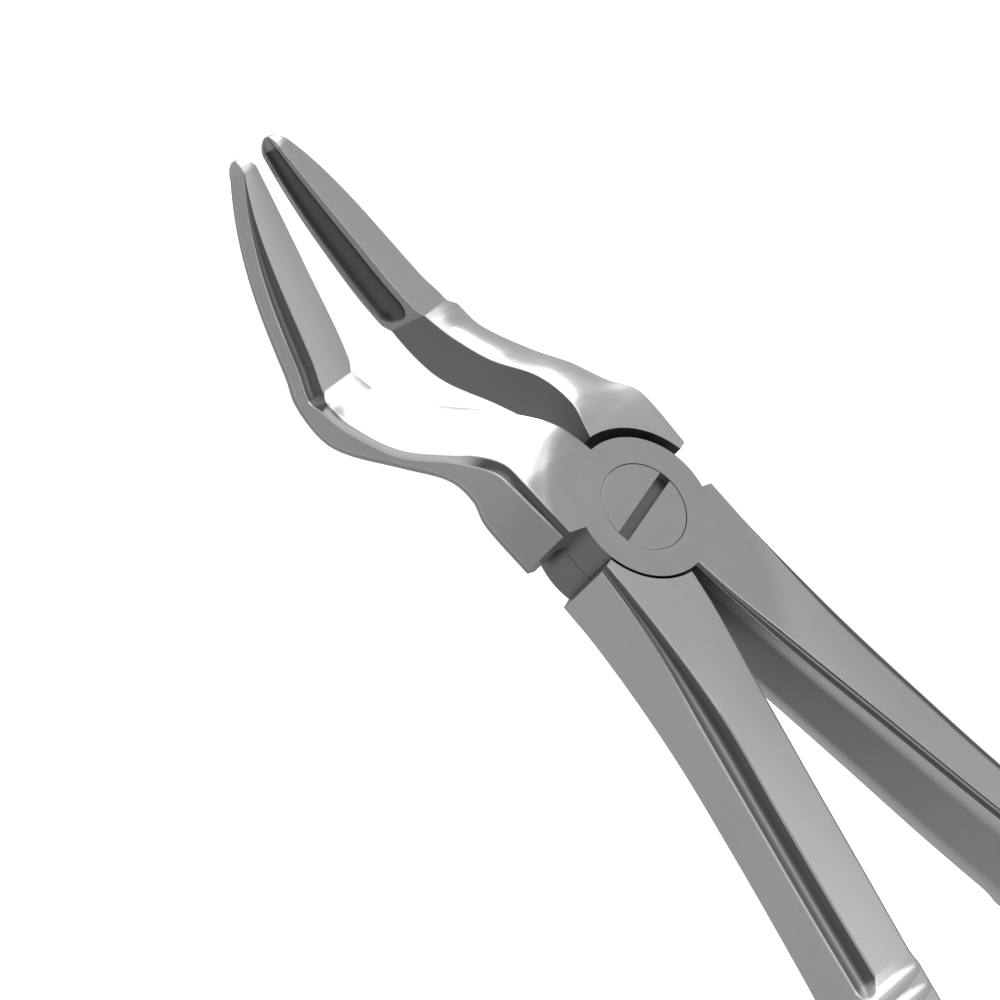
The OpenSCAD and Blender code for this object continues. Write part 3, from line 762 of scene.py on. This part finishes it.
# %% [markdown]
# ## Distance from the hinge
# The polish on the shank stops at a circle round the hinge, because the joint is ground flat on a
# disc afterwards. The group measures the distance from the leaning hinge axis.

# %%
from_hinge, gin, gout = new_group("Distance from the hinge", [("Vector", "v", None)],
                                  [("Millimetres", "f")])
axis = (-math.sin(LEAN), 0.0, math.cos(LEAN))
cross = node(from_hinge, "ShaderNodeVectorMath", p_operation="CROSS_PRODUCT",
             i0=gin.outputs["Vector"], i1=axis)
size = node(from_hinge, "ShaderNodeVectorMath", p_operation="LENGTH", i0=cross.outputs[0])
from_hinge.links.new(maths(from_hinge, "MULTIPLY", size.outputs["Value"], 1000.0),
                     gout.inputs["Millimetres"])
print("distance from the hinge:", len(from_hinge.nodes), "nodes")

# %% [markdown]
# ## Stainless steel
# One kind of steel, six finishes. Three of them carry painted light: painted shade on the inner
# faces, painted shade in the hollows and a painted highlight on the crests, which are also smoother.
# The stored region colour says which a spot has, and the material blends colour and roughness
# between them. Round the joint the steel is freshly ground, and that turns to satin across the
# joint's edges. The bump is only the scratches: the shape itself is all in the mesh.


# %%
# Millimetres from the hinge where the polish starts, and the ground steel's diamond-shaped reach: how
# much a metre along and across counts, and where the sum starts and ends the change to satin.
POLISH_FROM, POLISH_FULL = 9.9, 10.9
ALONG_WEIGHT, ACROSS_WEIGHT, GROUND_TO, SATIN_FROM = 490.0, 870.0, 10.3, 13.7


def spread_out(tree, value, low, high, to_low, to_high, kind="LINEAR"):
    """One Map Range node: low becomes to_low and high becomes to_high."""
    return node(tree, "ShaderNodeMapRange", Value=value, i1=low, i2=high, i3=to_low, i4=to_high,
                p_interpolation_type=kind).outputs[0]


def steel(name, tint, fineness, turn, settings):
    """A metal whose colour and roughness follow the regions: satin where none is set, then painted
    shade on the inner faces, painted shade in the hollows, a painted highlight on the crests and
    mirror polish laid over it in that order."""
    mat = bpy.data.materials.new(name)
    mat.use_nodes = True
    tree = mat.node_tree
    tree.nodes.clear()
    coords = node(tree, "ShaderNodeTexCoord").outputs["Object"]
    turned = node(tree, "ShaderNodeMapping", Vector=coords,
                  Rotation=(0, 0, math.radians(turn))).outputs[0]
    g = use_group(tree, grain, Vector=turned, Fineness=fineness)
    m = use_group(tree, marks, Vector=coords)
    finish_and_painted_light = node(tree, "ShaderNodeAttribute", p_attribute_name="finish_and_painted_light")
    region = node(tree, "ShaderNodeSeparateColor", Color=finish_and_painted_light.outputs["Color"])
    crest = finish_and_painted_light.outputs["Alpha"]
    polish, inner, hollow = region.outputs
    away = use_group(tree, from_hinge, Vector=coords).outputs[0]
    outside = spread_out(tree, away, POLISH_FROM, POLISH_FULL, 0.0, 1.0, "SMOOTHSTEP")
    polish = maths(tree, "MULTIPLY", polish, outside)
    streak = spread_out(tree, g.outputs["Streak"], 0.3, 0.7, -1.0, 1.0)
    clouds = spread_out(tree, m.outputs["Cloud"], 0.3, 0.7, -1.0, 1.0)
    # Inner and hollow darken the colour as painted shade, and crest brightens it as a painted highlight.
    order = (("inner", inner), ("hollow", hollow), ("crest", crest), ("polish", polish))
    place_of = node(tree, "ShaderNodeSeparateXYZ", Vector=coords)
    out_along = maths(tree, "MULTIPLY", maths(tree, "ABSOLUTE", place_of.outputs["X"]), ALONG_WEIGHT)
    out_across = maths(tree, "MULTIPLY", maths(tree, "ABSOLUTE", place_of.outputs["Y"]), ACROSS_WEIGHT)
    clear = spread_out(tree, maths(tree, "ADD", out_along, out_across), GROUND_TO, SATIN_FROM, 0.0, 1.0,
                       "SMOOTHSTEP")
    shade = blend(tree, clear, *([v * s for v in tint] + [1] for s in settings["ground"]), "RGBA")
    rough = settings["satin"][1]
    for label, mask in order:
        value, smoothness = settings[label]
        shade = blend(tree, mask, shade, [v * value for v in tint] + [1], "RGBA")
        rough = blend(tree, mask, rough, smoothness)
    uneven = maths(tree, "ADD", maths(tree, "MULTIPLY", streak, 0.035),
                   maths(tree, "MULTIPLY", clouds, 0.02))
    bright = maths(tree, "ADD", uneven, 1.0)
    colour = node(tree, "ShaderNodeVectorMath", p_operation="SCALE", i0=shade, Scale=bright).outputs[0]
    specks = maths(tree, "MULTIPLY", m.outputs["Speck"], 0.3)
    colour = blend(tree, specks, colour, (0.2, 0.2, 0.2, 1), "RGBA")
    ripple = maths(tree, "MULTIPLY", maths(tree, "ADD", streak, clouds), 0.025)
    rough = maths(tree, "ADD", rough, ripple, clamp=True)
    dull = maths(tree, "SUBTRACT", 1.0, maths(tree, "MULTIPLY", polish, 0.92))
    bump = node(tree, "ShaderNodeBump", Strength=settings["scratch"], Distance=0.00001,
                Height=maths(tree, "MULTIPLY", dull, g.outputs["Height"]))
    shader = node(tree, "ShaderNodeBsdfPrincipled", Base_Color=colour, Metallic=1.0, Roughness=rough,
                  Normal=bump.outputs[0])
    out = node(tree, "ShaderNodeOutputMaterial")
    tree.links.new(shader.outputs[0], out.inputs["Surface"])
    return mat


# Each finish is its brightness and roughness, but ground is the brightness at the joint and beyond it.
# The brightness of inner and hollow is painted shade, and that of crest a painted highlight.
FINISHES_AND_PAINTED_LIGHT = {"ground": (0.56, 0.70), "satin": (0.62, 0.34), "inner": (0.29, 0.40),
            "hollow": (0.16, 0.36), "crest": (0.74, 0.24), "polish": (0.92, 0.1), "scratch": 0.35}
half_steel = steel("Satin and mirror forceps steel", (1.0, 1.008, 1.02), 9000, 0, FINISHES_AND_PAINTED_LIGHT)
rear_steel = steel("Satin forceps steel", (1.0, 1.006, 1.015), 9000, 0,
                   {**FINISHES_AND_PAINTED_LIGHT, "ground": (0.68, 0.68), "polish": (0.86, 0.22)})
screw_steel = steel("Faced screw steel", (1.0, 1.006, 1.015), 7000, SLOT_ANGLE,
                    {**FINISHES_AND_PAINTED_LIGHT, "ground": (0.56, 0.56)})

for piece, steel_used, cad, body, slot_name in (
        (front, half_steel, "front_half", "front", "front_steel"),
        (rear, rear_steel, "rear_half", "rear", "rear_steel"),
        (screw, screw_steel, "pivot_screw", "rear", "screw_steel")):
    piece.data.materials.clear()
    piece.data.materials.append(steel_used)
    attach(piece, body)
    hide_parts(cad)
    print(piece.name, "is", steel_used.name, "on", body)

# %% [markdown]
# ## Camera
# The camera looks down from the side of the front half's beak with a very long lens, so the two
# halves keep their true proportions. Its aim and roll are given in the instrument's frame.

# %%
EX = np.array([-0.6506, -0.6054, 0.4585])
EY = np.array([0.7574, -0.4727, 0.4505])
BACK = np.cross(EX, EY)
EY = np.cross(BACK, EX)
EX, EY, BACK = (v / np.linalg.norm(v) for v in (EX, EY, BACK))
FAR, ACROSS = 1500.0, 93.9
hinge_top = np.array([0, 0, JOINT_T])
LEFT, UP = 13.55, 0.60
aim = hinge_top - LEFT * EX + UP * EY
cam_data = bpy.data.cameras.new("camera")
cam_data.sensor_width, cam_data.lens = 36, 36 * FAR / ACROSS
cam_data.clip_start, cam_data.clip_end = 0.1, 20
cam = bpy.data.objects.new("camera", cam_data)
bpy.context.scene.collection.objects.link(cam)
turned_axes = [Vector(to_row(v) * 1000) for v in (EX, EY, BACK)]
spot = Vector(to_row(aim + BACK * FAR))
cam.matrix_world = Matrix.Translation(spot) @ Matrix(turned_axes).transposed().to_4x4()
bpy.context.scene.camera = cam
print("the camera stands", FAR, "mm away and sees", ACROSS, "mm across")

# %% [markdown]
# ## Floor, light and surroundings
# Polished metal has no look of its own: it shows what is round it. The surroundings are a pale sky
# that is brightest low down, where white cards would stand, and darker overhead and below. The floor
# is plain and pale and the steel doesn't mirror it.

# %%
floor_z = CAD_BOX[0].z - 0.0002
FLOOR = 2
floor_mesh = bpy.data.meshes.new("floor")
corners = [(x * FLOOR, y * FLOOR, floor_z) for x, y in ((-1, -1), (1, -1), (1, 1), (-1, 1))]
floor_mesh.from_pydata(corners, [], [(0, 1, 2, 3)])
floor = bpy.data.objects.new("floor", floor_mesh)
bpy.context.scene.collection.objects.link(floor)
paper = bpy.data.materials.new("Pale paper")
paper.use_nodes = True
paper_bsdf = paper.node_tree.nodes["Principled BSDF"]
paper_bsdf.inputs["Base Color"].default_value = (0.55, 0.55, 0.55, 1)
paper_bsdf.inputs["Roughness"].default_value = 0.9
paper_bsdf.inputs["Specular IOR Level"].default_value = 0.1
paper_bsdf.inputs["Emission Color"].default_value = (1, 1, 1, 1)
paper_bsdf.inputs["Emission Strength"].default_value = 1.0
floor.data.materials.append(paper)
floor.visible_glossy = False

world = bpy.data.worlds.new("studio")
bpy.context.scene.world = world
world.use_nodes = True
sky = world.node_tree
sky.nodes.clear()
way = node(sky, "ShaderNodeTexCoord").outputs["Generated"]
height = node(sky, "ShaderNodeSeparateXYZ", Vector=way).outputs["Z"]
ramp = sky.nodes.new("ShaderNodeValToRGB")
sky.links.new(spread_out(sky, height, -1.0, 1.0, 0.0, 1.0), ramp.inputs[0])
stops = [(0.0, 0.40), (0.35, 0.47), (0.5, 0.53), (0.7, 0.42), (0.88, 0.44), (0.96, 0.60), (1.0, 0.64)]
for element, (where, value) in zip(ramp.color_ramp.elements, (stops[0], stops[-1])):
    element.position, element.color = where, (value, value, value, 1)
for where, value in stops[1:-1]:
    ramp.color_ramp.elements.new(where).color = (value, value, value, 1)


def card(under, towards, wide, soft, value):
    """Lays a round card of light, or a dark opening, over the sky in one direction: full inside
    the angle wide, gone by the angle soft."""
    aim_at = Vector(to_row(np.array(towards)) * 1000).normalized()
    dot = node(sky, "ShaderNodeVectorMath", p_operation="DOT_PRODUCT", i0=way,
               i1=aim_at).outputs["Value"]
    share = spread_out(sky, dot, math.cos(math.radians(soft)), math.cos(math.radians(wide)), 0.0, 1.0,
                       "SMOOTHSTEP")
    return blend(sky, share, under, (value, value, value, 1), "RGBA")


# Three cards over the beaks, one low behind the handles, and a dim opening fixed in the direction of
# the camera, because a dark camera and its stand would show in the steel there.
light = card(ramp.outputs[0], (0.9, -0.2, 0.2), 31, 44, 1.2)
light = card(light, (0.64, -0.10, 0.72), 22, 34, 1.2)
light = card(light, (0.62, -0.35, 0.70), 15, 31, 1.15)
light = card(light, (-0.75, 0.55, 0.15), 20, 40, 1.0)
light = card(light, tuple(BACK), 13, 30, 0.18)
print("the sky has", len(sky.nodes), "nodes")
seen = node(sky, "ShaderNodeLightPath").outputs["Is Camera Ray"]
shown = blend(sky, seen, light, (1, 1, 1, 1), "RGBA")
lit = node(sky, "ShaderNodeBackground", Color=shown, Strength=1.0)
sky.links.new(lit.outputs[0], node(sky, "ShaderNodeOutputWorld").inputs["Surface"])


def softbox(name, where, size, power):
    """A square area light that faces the joint."""
    data = bpy.data.lights.new(name, "AREA")
    data.shape, data.size, data.energy = "SQUARE", size, power
    lamp = bpy.data.objects.new(name, data)
    bpy.context.scene.collection.objects.link(lamp)
    lamp.location = where
    lamp.rotation_mode = "QUATERNION"
    lamp.rotation_quaternion = (-Vector(where)).to_track_quat("-Z", "Y")
    return lamp


softbox("key_softbox", (0.42, -0.3, 0.1), 0.3, 0.6)
bpy.context.scene.view_settings.view_transform = "Standard"
